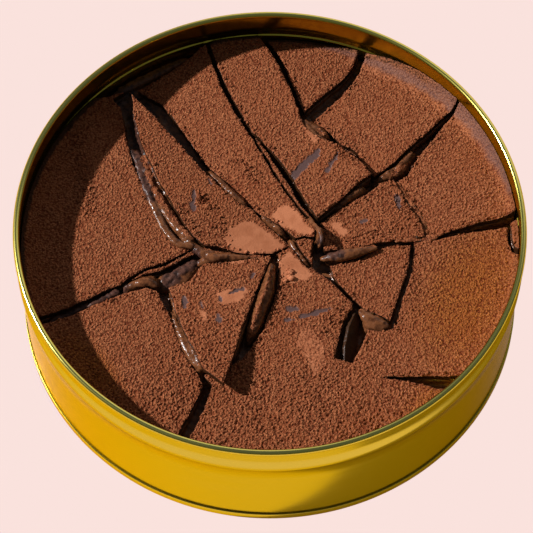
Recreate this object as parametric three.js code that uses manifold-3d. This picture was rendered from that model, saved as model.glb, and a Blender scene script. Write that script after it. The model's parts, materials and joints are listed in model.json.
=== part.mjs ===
// A round chocolate cake in its gold tin. Soft dark cream fills the tin, and a thin hard shell of
// chocolate lies on it, broken by a blow near the middle into shards that tilt, sink and lift.
// Millimetres, +Z up. The origin is the middle of the circle that the tin stands on.

import * as THREE from "three";
import { mergeVertices } from "three/addons/utils/BufferGeometryUtils.js";
import ManifoldModule from "manifold-3d";

const wasm = await ManifoldModule();
wasm.setup();

// Driving sizes
const TIN_RADIUS = 90;
const TIN_HEIGHT = 53;
const SHEET = 0.8;
const GAP = 0.3;
const CURL_RADIUS = 1.15;
const NECK_INSET = 1;
const WALL_INSET = 0.6;
const BEAD_LOW = 39.2;
const BEAD_HIGH = 45.4;
const BEAD_PROUD = 0.5;
const SEAM_HEIGHT = 3.5;
const SEAM_WIDTH = 1.8;
const PANEL_LOW = 2.4;
const PANEL_HIGH = 3.4;
const TIN_SIDES = 72;

const CREAM_LEVEL = 33;
const SHELL_TOP = 38.5;
const SHELL_THICKNESS = 2.8;
const CAKE_CLEARANCE = 0.4;
const CAKE_SIDES = 120;

// How the broken edges of the shell wander, and how finely they are stepped
const LIP_STEP = 2.3;
const LIP_JAG = 0.22;
const BED_STEP = 5;
const RIDGE_STEP = 3;
const RIDGE_LEAST = 0.16;
const BED_INSET = 0.25;

const wallOuter = TIN_RADIUS - WALL_INSET;
const wallInner = wallOuter - SHEET;
const neckOuter = TIN_RADIUS - NECK_INSET;
const neckInner = neckOuter - SHEET;
const curlCentre = [TIN_RADIUS - CURL_RADIUS, TIN_HEIGHT - CURL_RADIUS];
const creamRadius = wallInner - CAKE_CLEARANCE;
const shellRadius = creamRadius - 0.05;
const shellLow = SHELL_TOP - SHELL_THICKNESS;
const creamFoot = PANEL_HIGH + GAP;

const GOLD = new THREE.MeshStandardMaterial({ color: "#c89a22", roughness: 0.28, metalness: 1 });
const CREAM = new THREE.MeshStandardMaterial({ color: "#3a1c10", roughness: 0.3, metalness: 0 });
const COCOA = new THREE.MeshStandardMaterial({ color: "#7d4a2f", roughness: 0.95, metalness: 0 });

// The cracks, seen from above: points along the middle of each gap, as x, y and the gap's width.
// Each runs outward from the blow or across from another crack.
const CRACKS = {
  spearRight: [
    [-52.5, 65, 7], [-49.5, 62.4, 6], [-43, 57, 7.6], [-39, 52.3, 7.2], [-30, 40, 5], [-24, 31.3, 3.6],
    [-16.5, 23.6, 3.6], [-11, 17.8, 3], [-6.7, 14.2, 1], [-3.3, 11, 1.4], [0.2, 7.9, 2.6], [4.5, 4.3, 3],
    [7.6, 0.8, 3.2], [9.5, -3.2, 2.4], [14.5, -10.2, 2.2],
  ],
  spearLeft: [
    [-56, 62, 4.6], [-52.6, 58, 4.6], [-51.5, 51, 4], [-50.2, 44.4, 4.4], [-47.8, 35.3, 5], [-45.5, 30, 5.6],
    [-41.8, 21.2, 6], [-37.8, 13.1, 7], [-32.8, 4, 7], [-28.5, -0.2, 5], [-24.5, -3.3, 4.5], [-20, -5.3, 7.6],
    [-15, -5.7, 5.5], [-10, -5.9, 3.2], [-4, -5.4, 2], [1, -4.8, 1.6], [5, -2.6, 1.3], [8, -0.5, 1.3],
  ],
  westCut: [
    [-82, -33.5, 3], [-70, -28.7, 3.2], [-60, -23.2, 3.4], [-50, -18.5, 4], [-44, -16, 6], [-38, -15.8, 8.5],
    [-31, -12.6, 9.5], [-26, -7.5, 6], [-22, -5, 3],
  ],
  westStrip: [[-27, -2.6, 1], [-31, -5.3, 1], [-37, -9, 1], [-44, -11.2, 1], [-50, -15.5, 1], [-52, -18, 1]],
  southWest: [
    [-38, -19, 4], [-36.8, -21.8, 4], [-34.3, -28.3, 2.2], [-31.2, -37, 2.4], [-29, -43, 3],
    [-25.2, -49.7, 2.2], [-22.9, -54.4, 1.6], [-21.4, -57, 3], [-22.5, -60.8, 3.5], [-24.2, -65.5, 4],
    [-28.6, -75, 4], [-34, -88, 4],
  ],
  raisedEdge: [
    [1.8, -5, 2.5], [1.2, -10, 4], [-0.8, -20, 6.8], [-5.3, -34, 6.5], [-8.7, -42, 4.6], [-11, -46.3, 2.6],
    [-16.5, -50, 1.6], [-24, -52.5, 1.6],
  ],
  southHole: [
    [15.5, -9.5, 2.5], [20.8, -13.2, 3], [25, -18.4, 1.8], [29.8, -24.2, 2], [31, -27, 5], [29.5, -35, 9.5],
    [25.6, -47.5, 6.6],
  ],
  blobPocket: [[30, -27.5, 3], [35, -31.5, 8], [39.5, -33, 6.5], [43.2, -34, 2.5]],
  triangleRight: [
    [50.8, 1, 1.3], [50.6, -3, 1.3], [50, -9, 1.5], [48, -16, 2], [46, -22, 2], [44.2, -28, 2.2],
    [42.8, -33, 3],
  ],
  eastCut: [
    [19, -6, 6], [22, -5.6, 6], [26, -4.8, 5], [32, -3.8, 4], [37, -1.4, 1.8], [44, 0.2, 1.2],
    [50, 0.8, 1.2], [55, 1.5, 1.6], [60, 2, 1.5], [65, 3.6, 1.7], [70, 4.9, 2.2], [75, 6, 2.8],
    [80, 6.8, 3.2], [85, 7.9, 3.4], [91, 9.4, 4.6],
  ],
  middleHole: [[17.8, 6.4, 2.4], [17.3, 1, 3.2], [17, -4, 5], [18, -8.5, 6], [21, -13, 3]],
  sliverLeft: [
    [-24, 87, 1.6], [-20.8, 76.5, 1.7], [-17, 66, 1.9], [-12.5, 56, 1.9], [-8.3, 48, 1.7],
    [-6.6, 44.3, 0.9], [-3.5, 38.5, 0.9], [-0.6, 33, 0.9], [0.8, 29.4, 0.9], [3.8, 24.4, 0.9],
    [6.6, 19.4, 0.9], [9.8, 14.4, 0.9], [13.4, 9.6, 0.9], [15.6, 7.5, 1], [18, 5.5, 1.2],
  ],
  sliverRight: [
    [-7.5, 46.3, 1.1], [-4.2, 43, 1.1], [-0.2, 37.2, 1.6], [2.6, 33, 2.4], [4.9, 29, 2.8], [7.6, 24.2, 2.3],
    [10, 19.2, 2.4], [12.6, 14.2, 2.2], [15.8, 9.8, 1.4], [18.6, 6.4, 1.3],
  ],
  northRight: [
    [-4, 90, 2.6], [2, 79.8, 2.6], [4.6, 74.5, 2.3], [7, 68, 2], [9.8, 60, 2], [11.6, 54.6, 2.2],
    [12.6, 52, 3],
  ],
  northEastLeft: [
    [36, 87, 2], [34.4, 82, 2.4], [33.8, 79, 2.8], [31.8, 73.6, 3], [28.5, 68.3, 3.6], [24.5, 64, 4.4],
    [20, 59.5, 4.5], [16, 55.8, 4.3], [12.6, 53, 3],
  ],
  creamRidge: [
    [12.4, 52.5, 3], [14.3, 49.8, 5.5], [18, 46.5, 6.2], [22, 43, 4.4], [25.5, 40.3, 2.6], [28.3, 38.8, 3.6],
    [30.6, 37, 2.8], [31.6, 34, 1], [34.5, 31, 1], [36.6, 27.5, 1.3], [38.5, 25, 2],
  ],
  northEastRight: [
    [37, 25.2, 3], [40.5, 26.5, 4.6], [47.1, 30, 7.4], [49.9, 34.3, 5.6], [52.2, 37.1, 4.6],
    [55.3, 40.4, 4.1], [59.7, 45.1, 3.1], [64, 50.1, 2.1], [67.8, 54.2, 1.3], [70.2, 57.2, 1], [77, 66, 1],
  ],
  northFoot: [[16.4, 7.9, 1.3], [21, 11.6, 1.6], [28, 17.2, 2.7], [33.3, 21.5, 4.4], [38, 25.1, 4]],
  crumbledArc: [
    [44.6, 28, 2.2], [47.8, 20.4, 1.1], [49, 16.6, 1.2], [51.2, 13.2, 1], [53.6, 9.8, 1], [55, 6, 1.2],
    [56, 1.8, 1.6],
  ],
  southEastNotch: [
    [39, -54, 0.5], [45, -54.5, 1.4], [50, -54.8, 2.3], [60, -56.3, 5.2], [66, -56.9, 6.8], [78, -58.8, 9],
  ],
  northWestRim: [
    [-64, 61, 1.5], [-57, 65.5, 5], [-50.5, 69.5, 8], [-43.5, 73.5, 8], [-36, 78, 7], [-29, 82, 4.4],
    [-24.5, 84.6, 2.6], [-17, 89, 1.2],
  ],
  middleBit: [[8, 1, 1.2], [12, 1.8, 1], [16, 1.2, 1.2]],
  eastChip: [[85.2, 7.5, 1], [85.3, 0, 1], [86.3, -3.8, 1], [87.6, -5.3, 1], [91, -5.8, 1]],
};

// The shards of the shell. "at" is a point of the shard that stands lift above the unbroken top,
// and the shard's top climbs by tilt degrees towards the heading uphill, from +X towards +Y.
const SHARDS = [
  { name: "shell_west", at: [-62, 10], lift: 0.5, tilt: 1.5, uphill: 200 },
  { name: "shell_west_strip", at: [-40, -11.2], lift: -0.2, tilt: 0, uphill: 0 },
  { name: "shell_spear", at: [-27, 25], lift: 2.1, tilt: 4.8, uphill: 130 },
  { name: "shell_north_west", at: [-15, 45], lift: 0.1, tilt: 8, uphill: 30 },
  { name: "shell_sliver", at: [4.3, 26.6], lift: 1.1, tilt: 0, uphill: 0 },
  { name: "shell_north", at: [5, 50], lift: 1.7, tilt: 3.6, uphill: 18 },
  { name: "shell_north_notch", at: [18, 72], lift: -0.3, tilt: 1.5, uphill: 0 },
  { name: "shell_north_east", at: [45, 55], lift: 0.8, tilt: 6.3, uphill: 2 },
  { name: "shell_east", at: [70, 32], lift: 2.2, tilt: 6.5, uphill: 29 },
  { name: "shell_middle_east", at: [36, 11], lift: 0.1, tilt: 3.5, uphill: 40 },
  { name: "shell_triangle", at: [38, -15], lift: -1.6, tilt: 1.5, uphill: 270 },
  { name: "shell_south", at: [15, -60], lift: 0.4, tilt: 0.8, uphill: 300 },
  { name: "shell_south_west", at: [-50, -45], lift: 0.9, tilt: 1.5, uphill: 200 },
  { name: "shell_raised", at: [-18, -28], lift: 3, tilt: 7.2, uphill: 276 },
  { name: "shell_middle_bit", at: [13, -1], lift: 0.2, tilt: 3, uphill: 90 },
  { name: "shell_east_chip", at: [87, 2], lift: 2.6, tilt: 2, uphill: 60 },
];

// The tip of the raised shard lies over its neighbour
const OVERHANG = [[-10.8, -42], [-13, -50], [-15.9, -59.6], [-19, -56.6], [-22.9, -53.4], [-25, -48.5]];

// Cream squeezed up in the cracks: the stretch of a crack that it fills, from and to as shares of
// the crack's length, the share of the width that it takes, the height of its crest, and how far
// the crest leans to the left of the crack's direction.
const RIDGES = [
  { crack: "spearRight", from: 0.42, to: 0.66, fill: 1, crest: 39.6, lean: 0 },
  { crack: "spearRight", from: 0.7, to: 0.87, fill: 1, crest: 39.4, lean: 0 },
  { crack: "spearRight", from: 0.85, to: 1, fill: 1, crest: 38.4, lean: 0 },
  { crack: "spearLeft", from: 0.2, to: 0.56, fill: 1, crest: 39.1, lean: 0.6 },
  { crack: "spearLeft", from: 0.52, to: 0.93, fill: 1, crest: 38.9, lean: 0 },
  { crack: "westCut", from: 0.12, to: 0.5, fill: 0.6, crest: 36.4, lean: 0 },
  { crack: "westCut", from: 0.48, to: 0.68, fill: 0.85, crest: 39.4, lean: 0.8 },
  { crack: "westCut", from: 0.66, to: 0.97, fill: 1, crest: 37.4, lean: 1.2 },
  { crack: "southWest", from: 0.06, to: 0.5, fill: 1, crest: 39.8, lean: 0 },
  { crack: "eastCut", from: 0, to: 0.28, fill: 0.95, crest: 37.9, lean: 0.7 },
  { crack: "northEastRight", from: 0, to: 0.38, fill: 0.62, crest: 39.2, lean: 1.2 },
  { crack: "northFoot", from: 0.3, to: 0.93, fill: 0.85, crest: 40.2, lean: 0.7 },
  { crack: "creamRidge", from: 0, to: 0.45, fill: 1, crest: 39.6, lean: 0 },
  { crack: "northWestRim", from: 0.12, to: 0.75, fill: 0.55, crest: 36, lean: 0 },
  { crack: "raisedEdge", from: 0.06, to: 0.62, fill: 0.85, crest: 42.2, lean: -0.6 },
  { crack: "middleHole", from: 0, to: 0.38, fill: 1, crest: 43, lean: 1 },
  { crack: "blobPocket", from: 0.25, to: 1, fill: 1, crest: 38.6, lean: 0.6 },
];

// The dark flake that has dropped into the hole on the south side, its upper edge by the lip
const FLAKE = { at: [28.3, -37.3, 35.35], size: [19.5, 6.2, 1.5], heading: -103, roll: -50 };
const PIT_LEVEL = 32.2;
const PIT_INSET = 0.8;

// A repeatable number from -1 to 1 for each index
function scatter(index, salt) {
  const wave = Math.sin(index * 127.1 + salt * 311.7) * 43758.5453;
  return 2 * (wave - Math.floor(wave)) - 1;
}

// The crack's points at an even step, each with the direction across the crack
function stepAlong(crack, step) {
  const path = [];
  for (let i = 0; i + 1 < crack.length; i += 1) {
    const [x0, y0, w0] = crack[i];
    const [x1, y1, w1] = crack[i + 1];
    const parts = Math.max(1, Math.round(Math.hypot(x1 - x0, y1 - y0) / step));
    for (let k = 0; k < parts; k += 1) {
      const t = k / parts;
      path.push({ x: x0 + t * (x1 - x0), y: y0 + t * (y1 - y0), width: w0 + t * (w1 - w0) });
    }
  }
  const [x, y, width] = crack.at(-1);
  path.push({ x, y, width });
  path.forEach((point, i) => {
    const before = path[Math.max(0, i - 1)];
    const after = path[Math.min(path.length - 1, i + 1)];
    const length = Math.hypot(after.x - before.x, after.y - before.y);
    point.across = [(before.y - after.y) / length, (after.x - before.x) / length];
  });
  return path;
}

// The gap's outline: one broken lip out and the other lip back
function gapOutline(crack, step, jag, widen, salt) {
  const path = stepAlong(crack, step);
  const lip = (point, side, i) => {
    const out = side * (point.width / 2 + widen + jag * scatter(i, salt + side));
    return new THREE.Vector2(point.x + out * point.across[0], point.y + out * point.across[1]);
  };
  const out = path.map((point, i) => lip(point, 1, i));
  const back = path.map((point, i) => lip(point, -1, i)).reverse();
  return [...out, ...back];
}

function circleOutline(radius, sides) {
  const turn = (2 * Math.PI) / sides;
  return Array.from({ length: sides }, (_, i) => {
    return new THREE.Vector2(radius * Math.cos(i * turn), radius * Math.sin(i * turn));
  });
}

function weld(geometry) {
  geometry.deleteAttribute("normal");
  geometry.deleteAttribute("uv");
  return mergeVertices(geometry, 1e-4);
}

// A closed geometry's faces, turned outwards if they point in
function faceOut(geometry) {
  const position = geometry.getAttribute("position");
  const index = geometry.getIndex();
  const [a, b, c] = [new THREE.Vector3(), new THREE.Vector3(), new THREE.Vector3()];
  let volume = 0;
  for (let i = 0; i < index.count; i += 3) {
    a.fromBufferAttribute(position, index.getX(i));
    b.fromBufferAttribute(position, index.getX(i + 1));
    c.fromBufferAttribute(position, index.getX(i + 2));
    volume += a.dot(b.cross(c));
  }
  if (volume < 0) {
    for (let i = 0; i < index.count; i += 3) {
      const first = index.getX(i);
      index.setX(i, index.getX(i + 1));
      index.setX(i + 1, first);
    }
  }
  return geometry;
}

function prism(outline, low, high) {
  const options = { depth: high - low, bevelEnabled: false };
  const geometry = new THREE.ExtrudeGeometry(new THREE.Shape(outline), options);
  geometry.translate(0, 0, low);
  return faceOut(weld(geometry));
}

// A ring or disc turned about the tin's axis, from points of radius and height
function turned(profile) {
  const points = profile.map(([radius, height]) => new THREE.Vector2(radius, height));
  const geometry = new THREE.LatheGeometry(points, TIN_SIDES);
  geometry.rotateX(Math.PI / 2);
  return faceOut(weld(geometry));
}

function solidFrom(geometry) {
  const vertProperties = new Float32Array(geometry.getAttribute("position").array);
  const triVerts = new Uint32Array(geometry.getIndex().array);
  return new wasm.Manifold(new wasm.Mesh({ numProp: 3, vertProperties, triVerts }));
}

function geometryFrom(solid) {
  const mesh = solid.getMesh();
  const geometry = new THREE.BufferGeometry();
  geometry.setAttribute("position", new THREE.BufferAttribute(new Float32Array(mesh.vertProperties), 3));
  geometry.setIndex(new THREE.BufferAttribute(new Uint32Array(mesh.triVerts), 1));
  return geometry;
}

// How far a shard's top stands above the unbroken top at a point
function riseOf(shard) {
  const slope = Math.tan(THREE.MathUtils.degToRad(shard.tilt));
  const heading = THREE.MathUtils.degToRad(shard.uphill);
  return (x, y) => {
    const along = (x - shard.at[0]) * Math.cos(heading) + (y - shard.at[1]) * Math.sin(heading);
    return shard.lift + slope * along;
  };
}

// Moves every point above a height up or down by the shard's rise
function lifted(geometry, rise, above) {
  const position = geometry.getAttribute("position");
  for (let i = 0; i < position.count; i += 1) {
    if (position.getZ(i) > above) {
      position.setZ(i, position.getZ(i) + rise(position.getX(i), position.getY(i)));
    }
  }
  return geometry;
}

// Whether a point lies under the faces that look up
function covers(geometry, [x, y]) {
  const position = geometry.getAttribute("position");
  const index = geometry.getIndex();
  const side = (i, j) => {
    const [xi, yi] = [position.getX(i), position.getY(i)];
    return (position.getX(j) - xi) * (y - yi) - (position.getY(j) - yi) * (x - xi);
  };
  for (let i = 0; i < index.count; i += 3) {
    const [a, b, c] = [index.getX(i), index.getX(i + 1), index.getX(i + 2)];
    if (side(a, b) > 0 && side(b, c) > 0 && side(c, a) > 0) return true;
  }
  return false;
}

// The disc from low to high with every crack cut out of it, as one piece for each shard
function brokenDisc(radius, low, high, step, jag, widen) {
  let disc = solidFrom(prism(circleOutline(radius, CAKE_SIDES), low, high));
  Object.values(CRACKS).forEach((crack, salt) => {
    const cutter = prism(gapOutline(crack, step, jag, widen, 10 * salt), low - 1, high + 1);
    disc = disc.subtract(solidFrom(cutter));
  });
  const pieces = disc.decompose().map(geometryFrom);
  return SHARDS.map((shard) => {
    const piece = pieces.find((geometry) => covers(geometry, shard.at));
    if (!piece) throw new Error(`no piece of the shell holds the middle of ${shard.name}`);
    return piece;
  });
}

// A rounded bank of cream along part of a crack, sunk a little into the cream below
function ridgeSolid({ crack, from, to, fill, crest, lean }) {
  const whole = stepAlong(CRACKS[crack], RIDGE_STEP);
  const path = whole.slice(Math.round(from * (whole.length - 1)), Math.round(to * (whole.length - 1)) + 1);
  const ARC_STEPS = 4;
  const FULLNESS = 0.7;
  const foot = CREAM_LEVEL - 1;
  const corners = [];
  path.forEach((point, i) => {
    const share = (2 * i) / (path.length - 1) - 1;
    const swell = 0.25 + 0.75 * Math.sqrt(1 - share ** 4);
    const half = Math.max(RIDGE_LEAST, (point.width / 2 - LIP_JAG - GAP) * fill * swell);
    const top = CREAM_LEVEL + (crest - CREAM_LEVEL) * swell;
    for (let k = 0; k <= ARC_STEPS; k += 1) {
      const angle = (Math.PI * k) / ARC_STEPS;
      const out = half * Math.cos(angle) + lean * swell * Math.sin(angle) ** 2;
      const height = CREAM_LEVEL + (top - CREAM_LEVEL) * Math.sin(angle) ** FULLNESS;
      corners.push(point.x + out * point.across[0], point.y + out * point.across[1], height);
    }
    corners.push(point.x - half * point.across[0], point.y - half * point.across[1], foot);
    corners.push(point.x + half * point.across[0], point.y + half * point.across[1], foot);
  });
  const ring = ARC_STEPS + 3;
  const faces = [];
  for (let i = 0; i + 1 < path.length; i += 1) {
    for (let k = 0; k < ring; k += 1) {
      const [a, b] = [i * ring + k, i * ring + ((k + 1) % ring)];
      faces.push(a, b, a + ring, b, b + ring, a + ring);
    }
  }
  const last = (path.length - 1) * ring;
  for (let k = 1; k + 1 < ring; k += 1) {
    faces.push(0, k + 1, k);
    faces.push(last, last + k, last + k + 1);
  }
  const geometry = new THREE.BufferGeometry();
  geometry.setAttribute("position", new THREE.BufferAttribute(new Float32Array(corners), 3));
  geometry.setIndex(faces);
  return solidFrom(faceOut(geometry));
}

// The curled rim's round section, from the neck's outer face over the top to its inner face
function curlProfile() {
  const start = -Math.acos((neckOuter - curlCentre[0]) / CURL_RADIUS);
  const end = 2 * Math.PI - Math.acos((neckInner - curlCentre[0]) / CURL_RADIUS);
  const between = [-45, -10, 25, 60, 90, 120, 155, 195].map(THREE.MathUtils.degToRad);
  return [start, ...between, end].map((angle) => {
    return [curlCentre[0] + CURL_RADIUS * Math.cos(angle), curlCentre[1] + CURL_RADIUS * Math.sin(angle)];
  });
}

// The wall's line from foot to neck, with the bead that a lid would stop on: crisp below, soft above
function wallLine(radius) {
  const middle = (BEAD_LOW + BEAD_HIGH) / 2;
  return [
    [radius, SEAM_HEIGHT + GAP],
    [radius, BEAD_LOW - 0.3],
    [radius + BEAD_PROUD, BEAD_LOW + 0.3],
    [radius + BEAD_PROUD, middle],
    [radius + BEAD_PROUD - 0.45, BEAD_HIGH - 1.2],
    [radius - (NECK_INSET - WALL_INSET), BEAD_HIGH],
  ];
}

function tinBody() {
  const outside = wallLine(wallOuter);
  const inside = wallLine(wallInner).reverse();
  const profile = [...outside, ...curlProfile(), ...inside, outside[0]];
  return turned(profile);
}

// The bottom panel and the seam ring that the tin stands on
function tinBase() {
  const seamInner = TIN_RADIUS - SEAM_WIDTH;
  const ROUNDING = 0.4;
  return turned([
    [0, PANEL_LOW],
    [seamInner - ROUNDING, PANEL_LOW],
    [seamInner, PANEL_LOW - ROUNDING],
    [seamInner, ROUNDING],
    [seamInner + ROUNDING, 0],
    [TIN_RADIUS - ROUNDING, 0],
    [TIN_RADIUS, ROUNDING],
    [TIN_RADIUS, SEAM_HEIGHT - ROUNDING],
    [TIN_RADIUS - ROUNDING, SEAM_HEIGHT],
    [seamInner, SEAM_HEIGHT],
    [seamInner - ROUNDING, PANEL_HIGH],
    [0, PANEL_HIGH],
  ]);
}

// The cream: a disc, a bed under each shard, the banks in the cracks, and the pit in the hole
function cream() {
  const bedTop = shellLow - GAP;
  const bedLow = CREAM_LEVEL - 1;
  let solid = solidFrom(prism(circleOutline(creamRadius, CAKE_SIDES), creamFoot, CREAM_LEVEL));
  const beds = brokenDisc(shellRadius - BED_INSET, bedLow, bedTop, BED_STEP, 0, BED_INSET);
  beds.forEach((bed, i) => {
    solid = solid.add(solidFrom(lifted(bed, riseOf(SHARDS[i]), bedLow + 0.1)));
  });
  const pit = prism(gapOutline(CRACKS.southHole.slice(-3), BED_STEP, 0, -PIT_INSET, 0), PIT_LEVEL, SHELL_TOP);
  solid = solid.subtract(solidFrom(pit));
  RIDGES.forEach((ridge) => {
    solid = solid.add(ridgeSolid(ridge));
  });
  return geometryFrom(solid);
}

function shellShards() {
  const pieces = brokenDisc(shellRadius, shellLow, SHELL_TOP, LIP_STEP, LIP_JAG, 0);
  const overhang = OVERHANG.map(([x, y]) => new THREE.Vector2(x, y));
  const tip = solidFrom(prism(overhang, shellLow, SHELL_TOP));
  return pieces.map((piece, i) => {
    const whole = SHARDS[i].name === "shell_raised" ? geometryFrom(solidFrom(piece).add(tip)) : piece;
    return lifted(whole, riseOf(SHARDS[i]), 0);
  });
}

// A thin broken flake: a plate whose outline narrows unevenly to one end
function flake() {
  const [length, width, thickness] = FLAKE.size;
  const outline = [
    [-0.5, -0.3], [-0.2, -0.5], [0.25, -0.44], [0.5, -0.2],
    [0.46, 0.34], [0.1, 0.5], [-0.3, 0.38], [-0.48, 0.2],
  ];
  const shape = outline.map(([x, y]) => new THREE.Vector2(x * length, y * width));
  return prism(shape, -thickness / 2, thickness / 2);
}

function addPiece(group, name, geometry, material) {
  const mesh = new THREE.Mesh(geometry, material.clone());
  mesh.name = name;
  group.add(mesh);
  return mesh;
}

const cake = new THREE.Group();
cake.name = "chocolate_cake";
addPiece(cake, "tin_body", tinBody(), GOLD);
addPiece(cake, "tin_base", tinBase(), GOLD);
addPiece(cake, "cake_cream", cream(), CREAM);
shellShards().forEach((geometry, i) => addPiece(cake, SHARDS[i].name, geometry, COCOA));
const sunkenFlake = addPiece(cake, "shell_sunken_flake", flake(), CREAM);
sunkenFlake.position.set(...FLAKE.at);
sunkenFlake.rotation.order = "ZYX";
sunkenFlake.rotation.set(THREE.MathUtils.degToRad(FLAKE.roll), 0, THREE.MathUtils.degToRad(FLAKE.heading));

export default cake;
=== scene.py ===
"""The looks of a round chocolate cake in its gold tin, laid out as a Blender add-on.

Sizes in the settings are Blender lengths. Places on the cake are millimetres from the tin's axis.
"""

import json
from math import acos, cos, hypot, pi, radians, sin

import bmesh
import bpy
import numpy as np
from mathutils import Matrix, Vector, kdtree

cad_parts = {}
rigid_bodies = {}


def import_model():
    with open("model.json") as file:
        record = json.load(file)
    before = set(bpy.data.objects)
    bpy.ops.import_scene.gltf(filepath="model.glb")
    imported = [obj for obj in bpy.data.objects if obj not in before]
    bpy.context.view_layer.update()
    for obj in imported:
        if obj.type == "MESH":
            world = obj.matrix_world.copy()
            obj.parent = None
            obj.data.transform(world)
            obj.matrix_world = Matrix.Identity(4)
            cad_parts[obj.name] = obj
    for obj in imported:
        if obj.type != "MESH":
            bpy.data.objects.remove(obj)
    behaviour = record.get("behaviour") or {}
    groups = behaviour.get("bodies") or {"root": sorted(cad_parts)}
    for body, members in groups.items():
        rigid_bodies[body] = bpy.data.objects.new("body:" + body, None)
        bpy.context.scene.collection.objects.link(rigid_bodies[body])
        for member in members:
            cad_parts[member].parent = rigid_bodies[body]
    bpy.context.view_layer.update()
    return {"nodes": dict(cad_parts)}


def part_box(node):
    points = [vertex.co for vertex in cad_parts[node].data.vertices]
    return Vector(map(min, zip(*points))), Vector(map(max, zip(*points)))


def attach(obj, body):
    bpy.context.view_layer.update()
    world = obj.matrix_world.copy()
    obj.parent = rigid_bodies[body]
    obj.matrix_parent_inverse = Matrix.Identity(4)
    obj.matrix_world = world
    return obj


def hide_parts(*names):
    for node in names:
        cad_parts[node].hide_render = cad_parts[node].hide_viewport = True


bl_info = {
    "name": "Chocolate cake in a tin",
    "version": (1, 0, 0),
    "blender": (4, 5, 0),
    "location": "View3D > Sidebar > Cake",
    "description": "Builds the tin, the cream, the broken cocoa shell, its crumbs and the stage",
    "category": "Add Mesh",
}

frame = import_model()

MM = 0.001
SHELL_NODES = sorted({n for n in frame["nodes"] if n.startswith("shell_")} - {"shell_sunken_flake"})
TIN_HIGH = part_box("tin_body")[1]
BASE_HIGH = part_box("tin_base")[1]
CREAM_LOW, CREAM_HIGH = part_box("cake_cream")
TIN_RADIUS_MM = BASE_HIGH[0] / MM
TIN_HEIGHT_MM = TIN_HIGH[2] / MM
BASE_TOP_MM = BASE_HIGH[2] / MM
CREAM_FOOT_MM = CREAM_LOW[2] / MM
CAKE_RADIUS_MM = CREAM_HIGH[0] / MM

# The tin's section in millimetres, as its sheet was drawn, beaded and rolled
SHEET_MM = 0.8
WALL_INSET_MM = 0.6
NECK_INSET_MM = 1
CURL_RADIUS_MM = 1.15
BEAD_FOOT_MM = 38.9
BEAD_CREST_MM = 39.5
BEAD_FALL_MM = 42.2
BEAD_TOP_MM = 45.4
BEAD_PROUD_MM = 0.5
BEAD_CROWN_MM = 0.06
SEAM_WIDTH_MM = 1.8
SEAM_BEND_MM = 0.5
SEAM_FOLD_MM = 0.2
PANEL_LOW_MM = 2.4
PANEL_HIGH_MM = 3.4

# The cream is fine above this height and plain below it, and a rope has so many sides
CREAM_CUT_MM = 29
ROPE_SIDES = 12

RELIEF_SIZES = ("Grain width", "Grain depth", "Lump width", "Lump depth")

# How far the shell's broken lip is rounded down, and a chip or a scrape cut in, in millimetres
LIP_DROP_MM = 0.25
CHIP_DEPTH_MM = 0.5
SCRAPE_DEPTH_MM = 0.35

# The camera, worked out from the ovals of the tin's rim and base in the photograph
PHOTO_SIDE_PIXELS = 533
CAMERA_SHIFT_PIXELS = -3.3
CAMERA_LENS_MM = 165.06
CAMERA_DOWN_DEGREES = 60.53
CAMERA_BACK_MM = 434.7
CAMERA_HEIGHT_MM = 790

# Where the cocoa has been pressed smooth, as outlines in millimetres
PRESSED = [
    [(-16.3, 0.9), (-14.2, 5.6), (-10.6, 8.1), (-6.2, 8.4), (0.1, 4), (6.3, -1.6), (2.7, -3.7),
     (-6.6, -4.9), (-13.2, -3.9)],
    [(0.5, 11), (2.8, 14.2), (5.9, 14.7), (9.5, 13.1), (12.1, 7.9), (16.1, 3.3), (12.5, 2.3), (8.1, 4.3),
     (4.5, 6.9)],
    [(3.2, -7.5), (7.2, -3.4), (10.7, -7.5), (14.2, -12.1), (15.9, -13.6), (12, -15.6), (7.5, -16.6),
     (4, -15.6)],
    [(21.5, 8), (24.2, 8.5), (27.7, 4.9), (27.2, 2.3), (25.4, 2.8)],
    [(10.2, -35.5), (14, -34), (18.5, -40), (19.5, -49), (15.5, -53), (12, -46), (9, -41)],
    [(-18.5, -22), (-14.5, -20), (-8, -19), (-7.4, -21.5), (-10, -25), (-15.5, -27), (-18.5, -26)],
    [(-17, -7.6), (-12, -7.2), (-8, -7.6), (-9, -9), (-14, -9.2)],
    [(-24, -29), (-21.5, -30), (-21, -33.5), (-23, -34)],
    [(12.6, 47.2), (15.8, 45.2), (18.6, 42.4), (16.4, 40.6), (13.4, 43)],
]

# Where the cocoa is scraped off and the bare chocolate shows: both ends, half width
SCRAPED = [
    ((17.6, 36.6), (7.2, 25.2), 1.5), ((25, 36), (20.2, 28), 0.7), ((11, -30.2), (20.8, -26.9), 1.1),
    ((6, -27.1), (9.8, -27.1), 0.9), ((5.4, -31.5), (7.9, -31.2), 0.7), ((32.2, 8.2), (34.2, 9), 0.9),
    ((45.3, 19.2), (46.4, 14), 0.8), ((-14.2, -22.2), (-9.4, -19.8), 0.8),
    ((-17.6, -23.6), (-17, -25.4), 0.6), ((-5.2, -13.2), (-6.8, -15.2), 0.5),
    ((-27.3, 19.8), (-27.4, 12.6), 0.8), ((-22.2, 24.8), (-21, 23.4), 0.5),
    ((-30, -23.4), (-29.6, -27.6), 0.8), ((-24.2, -25), (-23.6, -28.2), 0.7),
    ((-18.2, -30.4), (-17.6, -34.6), 0.7),
]

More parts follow.
